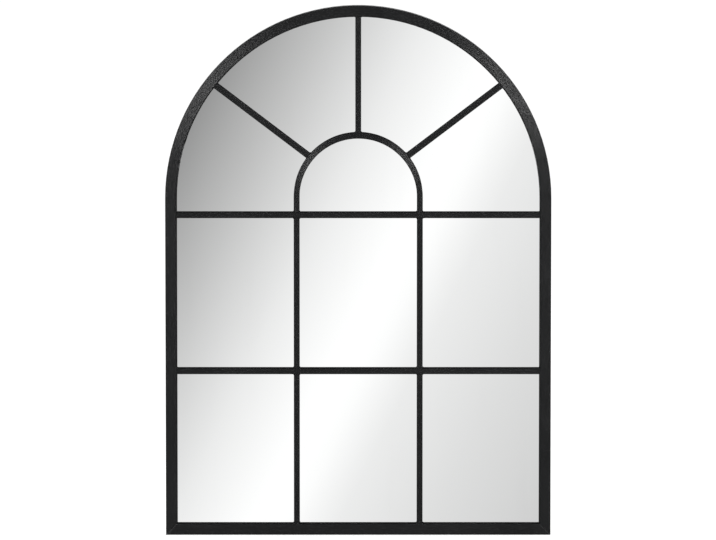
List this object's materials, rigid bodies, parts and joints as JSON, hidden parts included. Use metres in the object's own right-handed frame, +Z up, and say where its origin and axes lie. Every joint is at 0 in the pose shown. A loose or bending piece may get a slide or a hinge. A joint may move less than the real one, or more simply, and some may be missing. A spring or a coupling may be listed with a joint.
{
  "type": "arched window mirror",
  "caption": "Arched wall mirror in a bent square steel tube frame with a welded window grille over one sheet of glass, hung on two rear rings.",
  "frame": {"origin": "middle of the bottom rail's underside: half the width, half the frame tube's depth, at the base", "axes": "+X to the viewer's right across the width, +Y backwards from the mirror face to the wall, +Z up"},
  "size_m": [0.66, 0.024, 0.9099],
  "materials": {
    "black_steel": "matte black powder coat with a fine texture",
    "mirror": "silvered float glass, polished",
    "hardboard": "brown pressed hardboard, smooth side out",
    "black_foam": "black closed-cell foam, matte",
    "zinc_clip": "zinc-plated sheet steel",
    "zinc_screw": "zinc-plated screw",
    "bright_wire": "nickel-plated wire",
    "bumper_rubber": "black rubber, matte"
  },
  "bodies": {
    "mirror": {"arch_frame": "black_steel", "bottom_rail": "black_steel", "weld_fillets": "black_steel", "upper_crossbar": "black_steel", "lower_crossbar": "black_steel", "inner_arch": "black_steel", "centre_spoke": "black_steel", "right_spoke": "black_steel", "left_spoke": "black_steel", "left_lower_mullion": "black_steel", "left_middle_mullion": "black_steel", "right_lower_mullion": "black_steel", "right_middle_mullion": "black_steel", "mirror_glass": "mirror", "backing_board": "hardboard", "edge_gasket": "black_foam", "grille_tape": "black_foam", "rail_clip_left": "zinc_clip", "rail_clip_middle": "zinc_clip", "rail_clip_right": "zinc_clip", "left_clip_lower": "zinc_clip", "left_clip_middle": "zinc_clip", "right_clip_lower": "zinc_clip", "right_clip_middle": "zinc_clip", "left_arch_clip_low": "zinc_clip", "left_arch_clip_high": "zinc_clip", "right_arch_clip_low": "zinc_clip", "right_arch_clip_high": "zinc_clip", "clip_screws": "zinc_screw", "left_hanger_strap": "zinc_clip", "left_wall_bumper": "bumper_rubber", "right_hanger_strap": "zinc_clip", "right_wall_bumper": "bumper_rubber", "hanger_screws": "zinc_screw"},
    "left_ring": {"left_hanger_ring": "bright_wire"},
    "right_ring": {"right_hanger_ring": "bright_wire"}
  },
  "joints": [
    {"name": "left_ring_swing", "type": "hinge", "parent": "mirror", "child": "left_ring", "pos_m": [-0.3205, 0.01185, 0.568], "axis": [1, 0, 0], "range_deg": [0, 175]},
    {"name": "right_ring_swing", "type": "hinge", "parent": "mirror", "child": "right_ring", "pos_m": [0.3205, 0.01185, 0.568], "axis": [1, 0, 0], "range_deg": [0, 175]}
  ]
}
